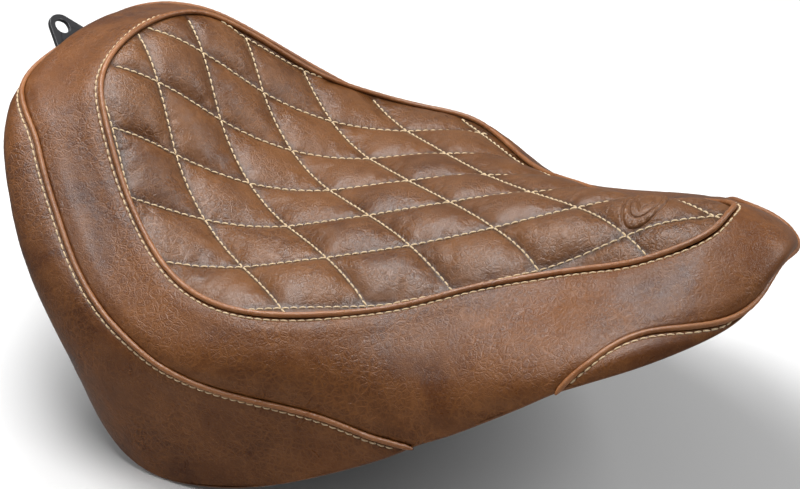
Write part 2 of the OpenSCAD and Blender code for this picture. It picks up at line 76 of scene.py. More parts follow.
# Quilting: diamonds of 2 inches across and 88 mm along the dish
DIAMOND_ACROSS = 50.8 * MM
DIAMOND_ALONG = 88 * MM
DIAMOND_CENTRE_X = 293 * MM
CELLS = 20  # mesh cells along one side of a diamond
LINE_SPACING = 44 * MM
ON_LINE = 1e-6  # a vertex this near a stitch line lies on it
DIAMOND_LONG_SIDE = math.hypot(DIAMOND_ALONG / 2, DIAMOND_ACROSS / 2)
QUILT_DEPTH = 2.6 * MM
QUILT_EASE = 7 * MM  # how far from a stitch line the leather has risen
RIM_EASE = 6 * MM
LINES_EACH_WAY = 7  # stitch lines of one family on each side of the centre
PUFF = 3.4 * MM
START_PUFF = 2.2 * MM  # height from which the cloth simulation swells the leather
MOST_SWELL = 4.5 * MM
CLOTH_PRESSURE = 400.0
BADGE_X = 422.5 * MM
BADGE_HALF = (22 * MM, 13 * MM)  # across and along the seat
BADGE_DEPTH = 1.1 * MM
CLOTH_FRAMES = 20

# Thread
STITCH_PITCH = 5.08 * MM
THREAD_R = 0.58 * MM
INSERT_ROW = 3.4 * MM  # topstitch row beside the insert piping
SKIRT_ROW = 3.7 * MM


# ---------------------------------------------------------------- curves and surfaces


def mesh_arrays(*nodes):
    """Vertices, edges and triangles of CAD nodes, with doubled vertices merged."""
    verts, edges, tris, base = [], [], [], 0
    for name in nodes:
        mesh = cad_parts[name].data
        co = np.array([v.co for v in mesh.vertices])
        keys, index = np.unique(np.round(co / (0.01 * MM)).astype(int), axis=0, return_inverse=True)
        index = index.ravel()
        merged = np.zeros((len(keys), 3))
        merged[index] = co
        verts.append(merged)
        edges.append(index[np.array([tuple(e.vertices) for e in mesh.edges])] + base)
        mesh.calc_loop_triangles()
        tris.append(index[np.array([tuple(t.vertices) for t in mesh.loop_triangles])] + base)
        base += len(keys)
    return np.vstack(verts), np.vstack(edges), np.vstack(tris)


def surface(*nodes):
    verts, _, tris = mesh_arrays(*nodes)
    return BVHTree.FromPolygons(verts.tolist(), tris.tolist())


def unit(v):
    return v / np.maximum(np.linalg.norm(v, axis=-1, keepdims=True), 1e-12)


def blur_loop(values, sigma):
    """Gaussian blur along axis 0 of a closed sequence; sigma in samples."""
    f = np.fft.rfftfreq(len(values))
    gain = np.exp(-2 * (math.pi * sigma * f) ** 2).reshape((-1,) + (1,) * (values.ndim - 1))
    return np.fft.irfft(np.fft.rfft(values, axis=0) * gain, n=len(values), axis=0)


def blur_line(values, sigma):
    """Gaussian blur along axis 0 that keeps both end values; sigma in samples."""
    pad = min(int(3 * sigma) + 1, len(values) - 1)
    head = 2 * values[:1] - values[1 : pad + 1][::-1]
    tail = 2 * values[-1:] - values[-pad - 1 : -1][::-1]
    long = np.concatenate([head, values, tail])
    kernel = np.exp(-0.5 * (np.arange(-pad, pad + 1) / sigma) ** 2)
    kernel /= kernel.sum()
    out = sum(k * long[i : i + len(values)] for i, k in enumerate(kernel))
    return out


def spline_loop(knots, per_span):
    """Smooth closed curve through the knots."""
    a, b, c, d = (np.roll(knots, s, axis=0)[:, None] for s in (1, 0, -1, -2))
    f = (np.arange(per_span) / per_span)[None, :, None]
    curve = 0.5 * (2 * b + (c - a) * f + (2 * a - 5 * b + 4 * c - d) * f**2 + (3 * b - a - 3 * c + d) * f**3)
    return curve.reshape(-1, knots.shape[1])


def resample(points, count):
    """Points at even arc length along an open line."""
    run = np.concatenate([[0], np.cumsum(np.linalg.norm(np.diff(points, axis=0), axis=1))])
    at = np.linspace(0, run[-1], count)
    return np.stack([np.interp(at, run, points[:, k]) for k in range(points.shape[1])], axis=1)


def polar(points):
    rel = points[..., :2] - HUB
    return np.arctan2(rel[..., 1], rel[..., 0])


def piping_knots(node):
    """Centre of each ring of a CAD piping tube, in order round the hub from the nose."""
    verts, _, _ = mesh_arrays(node)
    near = np.linalg.norm(verts[:, None] - verts[None], axis=2) < 2.5 * MM
    label = np.arange(len(verts))
    for _ in range(8):
        label = np.where(near, label[None, :], len(verts)).min(axis=1)
    knots = np.array([verts[label == ring].mean(axis=0) for ring in np.unique(label)])
    knots = knots[np.argsort(np.mod(polar(knots), 2 * math.pi))]
    return np.roll(knots, -np.argmax(knots[:, 0]), axis=0)


def section(node_arrays, origin, heading):
    """(distance out, height) of each point where an upright half plane cuts the mesh's edges."""
    verts, edges, _ = node_arrays
    rel = verts[:, :2] - origin[:2]
    off = rel[:, 1] * heading[0] - rel[:, 0] * heading[1]
    out = rel @ heading
    i, j = edges[:, 0], edges[:, 1]
    hit = (off[i] > 0) != (off[j] > 0)
    i, j = i[hit], j[hit]
    t = off[i] / (off[i] - off[j])
    cut = np.stack([out[i] + t * (out[j] - out[i]), verts[i, 2] + t * (verts[j, 2] - verts[i, 2])], axis=1)
    return cut[cut[:, 0] > 2 * MM]


def side_surface(seam, heading):
    """Grid of points down the outside, from the insert seam to the hem, one column per seam point."""
    skins = mesh_arrays("side_band", "rear_skirt", "nose_skirt")
    tree = surface("side_band", "rear_skirt", "nose_skirt")
    reach = 0.2
    profiles = np.zeros((len(seam), PROFILE, 2))
    for k, (point, ray) in enumerate(zip(seam, heading)):
        top = np.array([0, point[2]])
        cut = section(skins, point, ray)
        low = cut[cut[:, 1] < cut[:, 1].min() + 1.0 * MM]
        hem = low[np.argmax(low[:, 0])]
        pivot = np.array([-5 * MM, (top[1] + hem[1]) / 2])
        first = math.atan2(top[1] - pivot[1], top[0] - pivot[0])
        last = math.atan2(hem[1] - pivot[1], hem[0] - pivot[0])
        line, missed = [top], 1
        for phi in np.linspace(first, last, PROFILE)[3:-1]:
            aim = np.array([math.cos(phi), math.sin(phi)])
            start = pivot + reach * aim
            origin = Vector((*(point[:2] + start[0] * ray), start[1]))
            direction = Vector((*(-aim[0] * ray), -aim[1]))
            spot = tree.ray_cast(origin, direction, reach)[0]
            here = None if spot is None else np.array([(np.array(spot[:2]) - point[:2]) @ ray, spot[2]])
            if here is None or np.linalg.norm(here - line[-1]) > missed * 4 * MM:
                missed += 1
                continue
            line.append(here)
            missed = 1
        line.append(hem)
        profiles[k] = resample(np.array(line), PROFILE)
    profiles = blur_loop(profiles, 0.45 * COLUMNS / SEAM_ROWS)
    profiles = blur_line(profiles.transpose(1, 0, 2), 0.4 * PROFILE / 7).transpose(1, 0, 2)
    plan = seam[:, None, :2] + profiles[:, :, :1] * heading[:, None]
    return np.concatenate([plan, profiles[:, :, 1:]], axis=2)


def grid_normals(grid):
    around = np.roll(grid, -1, axis=0) - np.roll(grid, 1, axis=0)
    down = np.gradient(grid, axis=1)
    return unit(np.cross(down, around))


def side_point(k, distance):
    """Points and normals at these columns, this far down the side from the insert seam."""
    run = np.clip(distance / side_step[k], 0, PROFILE - 1.001)
    j = run.astype(int)
    f = (run - j)[..., None]
    point = side[k, j] * (1 - f) + side[k, j + 1] * f
    normal = unit(side_normal[k, j] * (1 - f) + side_normal[k, j + 1] * f)
    return point, normal


def seam_distance(node):
    """How far down the side a skirt's piping lies, for each column; infinite where there is none."""
    arrays = mesh_arrays(node)
    found = np.full(COLUMNS, np.nan)
    for k in range(COLUMNS):
        cut = section(arrays, seam[k], heading[k])
        cut = cut[cut[:, 0] < 120 * MM]
        if len(cut) < 4:
            continue
        middle = (cut.min(axis=0) + cut.max(axis=0)) / 2
        out = np.linalg.norm(side[k, :, :2] - seam[k, :2], axis=1)
        gap = np.hypot(out - middle[0], side[k, :, 2] - middle[1])
        if gap.min() < 6 * MM:
            found[k] = gap.argmin() * side_step[k]
    return found


def spread_seam(found, share_per_row):
    """The seam's distance with its two ends led on past the hem."""
    turn = np.flatnonzero(~np.isnan(found)) * 2 * math.pi / COLUMNS
    middle = math.atan2(np.sin(turn).mean(), np.cos(turn).mean()) * COLUMNS / (2 * math.pi)
    shift = round(middle) - COLUMNS // 2
    rolled = np.roll(found, -shift)
    have = np.flatnonzero(~np.isnan(rolled))
    first, last = have[0] + 2, have[-1] - 2
    inner = blur_line(np.interp(np.arange(first, last + 1), have, rolled[have]), 6)
    out = np.full(COLUMNS, np.inf)
    out[first : last + 1] = inner
    step = COLUMNS // SEAM_ROWS
    for end, way in ((first, -1), (last, 1)):
        slope = (out[end] - out[end - way * step]) / step
        for n in range(1, 3 * step):
            out[end + way * n] = out[end] + n * max(slope, share_per_row / step)
    return np.roll(out, shift)


seam_knots = piping_knots("insert_welt")
seam = blur_loop(spline_loop(seam_knots, COLUMNS // SEAM_ROWS), 8)
seam[:, 2] += 0.7 * MM
heading = np.roll(seam, -1, axis=0) - np.roll(seam, 1, axis=0)
heading = unit(blur_loop(np.stack([heading[:, 1], -heading[:, 0]], axis=1), 20))
side = side_surface(seam, heading)
side_length = np.linalg.norm(np.diff(side, axis=1), axis=2).sum(axis=1)
side_step = side_length / (PROFILE - 1)
side_normal = grid_normals(side)
rear_seam = spread_seam(seam_distance("rear_welt"), 10 * MM)
nose_seam = spread_seam(seam_distance("nose_welt"), 12 * MM)
skirt_seam = np.minimum(rear_seam, nose_seam)


def ripple(points, wavelength, height, waves=28):
    """Smooth, irregular swell of a given wavelength; seeded, so it is the same each run."""
    source = np.random.default_rng(int(wavelength / MM) + 3)
    heading = unit(source.normal(size=(waves, 3))) * (2 * math.pi / wavelength)
    heading *= source.uniform(0.6, 1.5, (waves, 1))
    phase = source.uniform(0, 2 * math.pi, waves)
    return height * np.sin(points @ heading.T + phase).sum(axis=-1) / math.sqrt(waves)


# ---------------------------------------------------------------- meshes


def mesh_object(name, verts, faces):
    """A smooth-shaded piece; faces is an array, or a list where faces have different numbers of corners."""
    if isinstance(faces, np.ndarray):
        faces = faces.tolist()
    mesh = bpy.data.meshes.new(name)
    mesh.from_pydata(verts.reshape(-1, 3).tolist(), [], faces)
    mesh.polygons.foreach_set("use_smooth", np.ones(len(mesh.polygons), bool))
    mesh.update()
    piece = bpy.data.objects.new(name, mesh)
    bpy.context.scene.collection.objects.link(piece)
    return piece


def grid_faces(rows, columns, closed_rows=False, closed_columns=False):
    i = np.arange(rows if closed_rows else rows - 1)[:, None]
    j = np.arange(columns if closed_columns else columns - 1)[None, :]
    a, b = i * columns + j, ((i + 1) % rows) * columns + j
    c, d = ((i + 1) % rows) * columns + (j + 1) % columns, i * columns + (j + 1) % columns
    return np.stack([a, b, c, d], axis=2).reshape(-1, 4)


def set_painted_shade_relief(piece, values):
    """Stores 0 in the grooves to 1 on the crowns; from it the leather's colour paints shade into the grooves
    and seams.
    """
    layer = piece.data.attributes.new("painted_shade_relief", "FLOAT", "POINT")
    layer.data.foreach_set("value", np.clip(values, 0, 1).astype(np.float32).ravel())


def tube(name, path, radius, closed=False, sides=20):
    """Round cord along a path, with a slightly irregular lay and a pleat at each stitch."""
    count = len(path)
    if closed:
        tangent = unit(np.roll(path, -1, axis=0) - np.roll(path, 1, axis=0))
    else:
        tangent = unit(np.gradient(path, axis=0))
    across = unit(np.cross(tangent, [0.0, 0.0, 1.0]))
    up = np.cross(across, tangent)
    turn = np.arange(sides) * 2 * math.pi / sides
    ring = np.cos(turn)[None, :, None] * across[:, None] + np.sin(turn)[None, :, None] * up[:, None]
    run = run_along(path)
    pleats = 0.035 * np.cos(2 * math.pi * run / STITCH_PITCH)
    swell = (1 + ripple(path, 9 * MM, 0.018) + pleats)[:, None, None]
    if not closed:
        reach = np.minimum(np.arange(count), np.arange(count)[::-1])[:, None, None]
        swell = swell * np.sqrt(np.clip((reach + 0.4) / 4, 0, 1))
    verts = path[:, None] + ring * radius * swell
    faces = grid_faces(count, sides, closed, True)
    piece = mesh_object(name, verts, faces[:, ::-1])
    set_painted_shade_relief(piece, np.ones(count * sides))
    return piece


def edge_dip(distance):
    """How the leather rolls down into a seam and swells beside it."""
    inside = -1.9 * MM * np.exp(-((distance / (1.9 * MM)) ** 2))
    return inside + 0.5 * MM * np.exp(-(((distance - 10 * MM) / (5 * MM)) ** 2))


def row_dip(distance, offset, phase):
    """A row of stitches pulls the leather in, most at the needle holes."""
    pull = 0.35 * MM + 0.3 * MM * np.abs(np.cos(math.pi * phase)) ** 6
    return -pull * np.exp(-(((distance - offset) / (0.85 * MM)) ** 2))


def even_rows(count):
    """Row places from 0 to 1, closer together at both ends."""
    t = np.linspace(0, 1, count)
    return t - 0.9 * np.sin(2 * math.pi * t) / (2 * math.pi)


def run_along(points):
    """Arc length at each point of a line."""
    steps = np.linalg.norm(np.diff(points, axis=0), axis=1)
    return np.concatenate([[0], np.cumsum(steps)])


def side_panel(name, columns, start, stop, rows, seams):
    """Leather between two distances down the side. seams: (distance of the seam, stitch row offset or 0)."""
    distance = start[:, None] + (stop - start)[:, None] * even_rows(rows)[None, :]
    k = np.broadcast_to(columns[:, None], distance.shape)
    point, normal = side_point(k, distance)
    lift = ripple(point, 70 * MM, 0.35 * MM) + ripple(point, 24 * MM, 0.10 * MM)
    painted_shade_relief = np.ones_like(distance)
    for at, sign, row, phase in seams:
        gap = sign * (distance - at[:, None])
        gap = np.where(np.isfinite(gap), gap, 1.0)
        lift = lift + edge_dip(gap)
        # Painted shade beside the seam, where the leather rolls down into it.
        painted_shade_relief = painted_shade_relief - 0.8 * np.exp(-((gap / (4 * MM)) ** 2))
        if row:
            lift = lift + row_dip(gap, row, phase[:, None])
    verts = point + normal * lift[..., None]
    closed = len(columns) == COLUMNS
    piece = mesh_object(name, verts, grid_faces(len(columns), rows, closed)[:, ::-1])
    set_painted_shade_relief(piece, painted_shade_relief)
    return piece


everywhere = np.arange(COLUMNS)
top_seam = np.zeros(COLUMNS)
no_phase = np.zeros(COLUMNS)


def phases(points):
    return run_along(points) / STITCH_PITCH


def make_side_band():
    stop = np.minimum(side_length, skirt_seam - 0.6 * MM)
    path, _ = side_point(everywhere, np.full(COLUMNS, INSERT_ROW))
    seams = [(top_seam, 1, INSERT_ROW, phases(path)), (skirt_seam, -1, 0, no_phase)]
    return side_panel("band_leather", everywhere, np.full(COLUMNS, 0.6 * MM), stop, 110, seams)


def skirt_columns(at):
    inside = np.flatnonzero(at < side_length - 0.8 * MM)
    breaks = np.flatnonzero(np.diff(inside) > 1)
    return np.roll(inside, -breaks[0] - 1) if len(breaks) else inside


def make_skirt(name, at):
    columns = skirt_columns(at)
    path, _ = side_point(columns, at[columns] + SKIRT_ROW)
    seams = [(at[columns], 1, SKIRT_ROW, phases(path))]
    start = at[columns] + np.minimum(0.6 * MM, side_length[columns] - at[columns])
    return side_panel(name, columns, start, side_length[columns], 80, seams)


def make_hem_fold():
    """The covers' lower edge, rolled round the pan's rim."""
    point, normal = side[:, -1], side_normal[:, -2]
    down = unit(side[:, -1] - side[:, -4])
    radius = 2.0 * MM
    turn = np.radians(np.linspace(0, 165, 14))[None, :, None]
    centre = (point - radius * normal)[:, None]
    verts = centre + radius * (normal[:, None] * np.cos(turn) + down[:, None] * np.sin(turn))
    piece = mesh_object("hem_fold", verts, grid_faces(COLUMNS, 14, True)[:, ::-1])
    set_painted_shade_relief(piece, np.full(COLUMNS * 14, 0.7))
    return piece


def make_welts():
    insert = tube("insert_piping", seam + side_normal[:, 1] * 0.2 * MM, WELT_R, closed=True)
    pieces = [insert]
    for name, at in (("rear_piping", rear_seam), ("nose_piping", nose_seam)):
        columns = np.flatnonzero(at < side_length + 3 * MM)
        breaks = np.flatnonzero(np.diff(columns) > 1)
        if len(breaks):
            columns = np.roll(columns, -breaks[0] - 1)
        reach = np.minimum(at[columns], side_length[columns])
        point, normal = side_point(columns, reach)
        over = np.maximum(at[columns] - side_length[columns], 0)[:, None]
        down = unit(side[columns, -1] - side[columns, -4])
        path = point + normal * (0.1 * MM) + down * over
        pieces.append(tube(name, path, WELT_R))
    return pieces


# ---------------------------------------------------------------- quilted insert


def outline_half():
    left = seam[: COLUMNS // 2 + 1].copy()
    left[0, 1] = left[-1, 1] = 0
    order = np.argsort(left[:, 0])
    return left[order, 0], left[order, 1], left[order, 2]


edge_x, edge_y, edge_z = outline_half()


def crown_profile():
    tree = surface("quilt_cover")
    xs = np.linspace(edge_x[0], edge_x[-1], 420)
    zs = np.zeros(len(xs))
    for n, x in enumerate(xs):
        spot = tree.ray_cast(Vector((x, 0, 0.2)), Vector((0, 0, -1)))[0]
        zs[n] = spot.z if spot is not None else np.nan
    good = np.isfinite(zs)
    zs = np.interp(xs, xs[good], zs[good])
    zs[0], zs[-1] = edge_z[0], edge_z[-1]
    return xs, blur_line(zs[:, None], 9)[:, 0]


crown_x, crown_z = crown_profile()
crown_run = run_along(np.stack([crown_x, crown_z], axis=1))
crown_run -= np.interp(DIAMOND_CENTRE_X, crown_x, crown_run)


def half_width(x):
    return np.interp(x, edge_x, edge_y)


def dish_height(x, y):
    rim = np.interp(x, edge_x, edge_z)
    crown = np.interp(x, crown_x, crown_z)
    share = np.clip(np.abs(y) / np.maximum(half_width(x), 1e-4), 0, 1)
    return rim + (crown - rim) * (1 - share**2)


def dish(s, y):
    """Point and normal of the unquilted dish, s along its centre line and y to the left."""
    x = np.interp(s, crown_run, crown_x)
    point = np.stack([x, y, dish_height(x, y)], axis=-1)
    step = 1.5 * MM
    slope_x = (dish_height(x + step, y) - dish_height(x - step, y)) / (2 * step)
    slope_y = (dish_height(x, y + step) - dish_height(x, y - step)) / (2 * step)
    normal = unit(np.stack([-slope_x, -slope_y, np.ones_like(x)], axis=-1))
    return point, normal


def lattice(p, q):
    """Pattern coordinates to (s, y): the stitch lines are whole p and whole q."""
    return DIAMOND_ALONG * (p + q) / 2, DIAMOND_ACROSS * (p - q) / 2


seam_plan = seam[:, :2]


def rim_gap(xy):
    """Signed distance inside the insert seam, in plan, and the nearest seam column."""
    tree = KDTree(len(seam_plan))
    for k, point in enumerate(seam_plan):
        tree.insert((*point, 0), k)
    tree.balance()
    near = [tree.find((*point, 0)) for point in xy]
    column = np.array([n[1] for n in near])
    distance = np.array([n[2] for n in near])
    rel = xy - seam_plan[column]
    ahead = seam_plan[(column + 1) % COLUMNS] - seam_plan[column - 1]
    cross = ahead[:, 0] * rel[:, 1] - ahead[:, 1] * rel[:, 0]
    return np.where(cross > 0, distance, -distance), column


def quilt_grid():
    """Mesh of the insert on a lattice whose edges run along the stitch lines, cut to the seam."""
    span = LINES_EACH_WAY * CELLS
    a, b = np.meshgrid(np.arange(-span, span + 1), np.arange(-span, span + 1), indexing="ij")
    s, y = lattice(a / CELLS, b / CELLS)
    x = np.interp(s, crown_run, crown_x)
    wide = (s > crown_run[0]) & (s < crown_run[-1]) & (np.abs(y) < half_width(x) + 1 * MM)
    keep = np.flatnonzero(wide.ravel())
    gap, _ = rim_gap(np.stack([x.ravel()[keep], y.ravel()[keep]], axis=1))
    inside = np.zeros(a.size, bool)
    inside[keep[gap > 0.9 * MM]] = True
    quads = grid_faces(2 * span + 1, 2 * span + 1)
    quads = quads[inside[quads].all(axis=1)]
    used, index = np.unique(quads, return_inverse=True)
    quads = index.reshape(-1, 4)[:, ::-1]
    a, b, s, y = (v.ravel()[used] for v in (a, b, s, y))
    return a, b, s, y, quads


def rim_vertices(quads, count):
    """True for vertices on the open edge of a quad mesh."""
    sides = np.sort(np.concatenate([quads[:, [k, (k + 1) % 4]] for k in range(4)]), axis=1)
    pairs, times = np.unique(sides, axis=0, return_counts=True)
    rim = np.zeros(count, bool)
    rim[pairs[times == 1].ravel()] = True
    return rim


def make_quilt():
    a, b, s, y, quads = quilt_grid()
    point, normal = dish(s, y)
    rim = rim_vertices(quads, len(a))
    gap, column = rim_gap(point[:, :2])
    along_p = np.abs(a / CELLS - np.round(a / CELLS)) * LINE_SPACING
    along_q = np.abs(b / CELLS - np.round(b / CELLS)) * LINE_SPACING
    rise = (1 - np.exp(-along_p / QUILT_EASE)) * (1 - np.exp(-along_q / QUILT_EASE))
    rise = rise * (1 - np.exp(-np.maximum(gap, 0) / RIM_EASE))
    lift = -QUILT_DEPTH + (QUILT_DEPTH + START_PUFF) * rise
    hole = 0.35 * MM * (1 - (a % 2) * (along_q < ON_LINE) - (b % 2) * (along_p < ON_LINE))
    lift = lift - np.where((along_p < ON_LINE) | (along_q < ON_LINE), hole, 0)
    verts = point + normal * lift[:, None]
    verts[rim] = seam[column[rim]] - [0, 0, 1.6 * MM]
    verts[rim, :2] += (point[rim, :2] - seam[column[rim], :2]) * 0.1
    held = rim | (along_p < ON_LINE) | (along_q < ON_LINE)
    return mesh_object("quilted_insert", verts, quads), point, normal, held


def quilt_painted_shade_relief(piece, point, normal):
    """0 where the stitches hold the leather down to 1 on the crowns; it sets the painted shade in the quilt's
    grooves.
    """
    rise = np.array([v.co for v in piece.data.vertices]) - point
    height = np.einsum("ij,ij->i", rise, normal)
    return np.clip((height + QUILT_DEPTH) / (QUILT_DEPTH + PUFF), 0, 1)


def swell_quilt(piece, held):
    """Cloth simulation: pressure swells the leather between its stitches, and spare length wrinkles it."""
    scene = bpy.context.scene
    still = np.array([v.co for v in piece.data.vertices])
    pins = piece.vertex_groups.new(name="held")
    pins.add(np.flatnonzero(held).tolist(), 1.0, "REPLACE")
    modifier = piece.modifiers.new("cloth", "CLOTH")
    cloth = modifier.settings
    cloth.quality = 6
    cloth.mass = 0.02
    cloth.air_damping = 4
    cloth.tension_stiffness = cloth.compression_stiffness = 20
    cloth.shear_stiffness = 8
    cloth.bending_stiffness = 0.3
    cloth.shrink_min = -0.018
    cloth.vertex_group_mass = "held"
    cloth.pin_stiffness = 5
    cloth.use_pressure = True
    cloth.uniform_pressure_force = CLOTH_PRESSURE
    cloth.effector_weights.gravity = 0
    modifier.collision_settings.use_collision = False
    modifier.point_cache.frame_start, modifier.point_cache.frame_end = 1, CLOTH_FRAMES
    scene.frame_start, scene.frame_end = 1, CLOTH_FRAMES
    for count in range(1, CLOTH_FRAMES + 1):
        scene.frame_set(count)
    shaped = piece.evaluated_get(bpy.context.evaluated_depsgraph_get())
    moved = np.array([v.co for v in shaped.data.vertices])
    piece.modifiers.remove(modifier)
    scene.frame_set(1)
    shift = np.where(held[:, None], 0, moved - still)
    length = np.linalg.norm(shift, axis=1, keepdims=True)
    shift *= MOST_SWELL * np.tanh(length / MOST_SWELL) / np.maximum(length, 1e-9)
    piece.data.vertices.foreach_set("co", (still + shift).ravel())
    piece.data.update()


def badge_depth(x, y):
    """Depth of the pressed oval: two rings with beads between them round a plain diamond."""
    across, along = (y / BADGE_HALF[0], (x - BADGE_X) / BADGE_HALF[1])
    radius = np.hypot(across, along)
    slope = np.hypot(across / BADGE_HALF[0], along / BADGE_HALF[1]) / np.maximum(radius, 1e-6)
    depth = np.zeros_like(radius)
    for ring, width, deep in ((0.94, 0.75 * MM, 1.0), (0.66, 0.55 * MM, 0.8)):
        away = (radius - ring) / np.maximum(slope, 1e-6)
        depth += deep * np.exp(-((away / width) ** 2))
    beads = 0.5 + 0.5 * np.cos(18 * np.arctan2(along, across))
    depth -= 0.45 * beads * np.exp(-(((radius - 0.80) / 0.06) ** 2))
    core = np.abs(across) / 0.42 + np.abs(along) / 0.42
    depth += 0.8 * np.exp(-(((core - 1) / 0.16) ** 2))
    return BADGE_DEPTH * depth


def in_badge(co):
    return math.hypot(co.y / BADGE_HALF[0], (co.x - BADGE_X) / BADGE_HALF[1]) < 1.2


def press_badge(piece):
    """Applies the smoothing and presses the badge into a locally finer mesh."""
    shaped = bpy.data.meshes.new_from_object(piece.evaluated_get(bpy.context.evaluated_depsgraph_get()))
    piece.modifiers.clear()
    work = bmesh.new()
    work.from_mesh(shaped)
    near = [edge for edge in work.edges if all(in_badge(v.co) for v in edge.verts)]
    bmesh.ops.subdivide_edges(work, edges=near, cuts=3, use_grid_fill=True, smooth=0.6)
    work.normal_update()
    place = np.array([v.co for v in work.verts])
    depth = badge_depth(place[:, 0], place[:, 1])
    moves = [(v, v.normal.copy(), d) for v, d in zip(work.verts, depth) if abs(d) > 1e-6]
    for v, normal, d in moves:
        v.co -= normal * float(d)
    work.to_mesh(shaped)
    work.free()
    piece.data = shaped
    shaped.polygons.foreach_set("use_smooth", np.ones(len(shaped.polygons), bool))


# ---------------------------------------------------------------- thread


def surface_of(piece):
    dg = bpy.context.evaluated_depsgraph_get()
    return BVHTree.FromObject(piece, dg)


def stitches(name, tree, starts, ends, normals):
    """One mesh of short thread pieces that dive into the leather at both ends."""
    rings, sides = 7, 6
    count = len(starts)
    source = np.random.default_rng(count)
    t = np.linspace(-0.5, 0.5, rings)
    side_way = unit(np.cross(ends - starts, normals))
    slant = source.normal(0, 0.10 * MM, (count, 1)) * side_way
    line = (starts + ends)[:, None] / 2 + (ends - starts)[:, None] * 0.94 * t[None, :, None]
    line = line + slant[:, None] * (2 * t[None, :, None])
    for i in range(count):
        for r in range(rings):
            spot = tree.ray_cast(Vector(line[i, r] + normals[i] * 4 * MM), Vector(-normals[i]), 9 * MM)[0]
            if spot is not None:
                line[i, r] = spot
    arch = THREAD_R * (1.25 * np.cos(math.pi * t) ** 0.7 - 0.75)
    line = line + normals[:, None] * arch[None, :, None]
    thick = THREAD_R * (1 - 0.4 * np.abs(2 * t) ** 3)
    turn = np.arange(sides) * 2 * math.pi / sides
    ring = np.cos(turn)[None, :, None] * side_way[:, None] + np.sin(turn)[None, :, None] * normals[:, None]
    verts = line[:, :, None] + ring[:, None] * thick[None, :, None, None]
    faces = grid_faces(rings, sides, False, True)
    first, last = np.arange(sides)[None, :], (rings - 1) * sides + np.arange(sides)[None, ::-1]
    base = np.arange(count)[:, None, None] * rings * sides
    quads = (faces[None] + base).reshape(-1, 4).tolist()
    caps = (np.concatenate([first, last])[None] + base).reshape(-1, sides).tolist()
    return mesh_object(name, verts, quads + caps)


def row_stitches(name, tree, points, normals, pitch=STITCH_PITCH):
    """Stitches at an even pitch along a line on a surface."""
    run = run_along(points)
    marks = np.arange(0, run[-1], pitch)
    at = np.stack([np.interp(marks, run, points[:, k]) for k in range(3)], axis=1)
    facing = unit(np.stack([np.interp(marks, run, normals[:, k]) for k in range(3)], axis=1))
    return stitches(name, tree, at[:-1], at[1:], facing[:-1])


def quilt_stitches(tree):
    starts, ends, normals = [], [], []
    per_side = round(DIAMOND_LONG_SIDE / STITCH_PITCH)
    reach = LINES_EACH_WAY * per_side
    for family in (0, 1):
        for n in range(-LINES_EACH_WAY, LINES_EACH_WAY + 1):
            t = np.arange(-reach, reach + 1) / per_side
            p, q = (np.full_like(t, n), t) if family == 0 else (t, np.full_like(t, n))
            s, y = lattice(p, q)
            x = np.interp(s, crown_run, crown_x)
            point, normal = dish(s, y)
            ok = (s > crown_run[0]) & (s < crown_run[-1]) & (np.abs(y) < half_width(x))
            gap, _ = rim_gap(point[:, :2])
            ok &= gap > 1.2 * MM
            both = ok[:-1] & ok[1:]
            starts.append(point[:-1][both])
            ends.append(point[1:][both])
            normals.append(normal[:-1][both])
    return stitches("quilt_thread", tree, np.vstack(starts), np.vstack(ends), np.vstack(normals))


# ---------------------------------------------------------------- materials


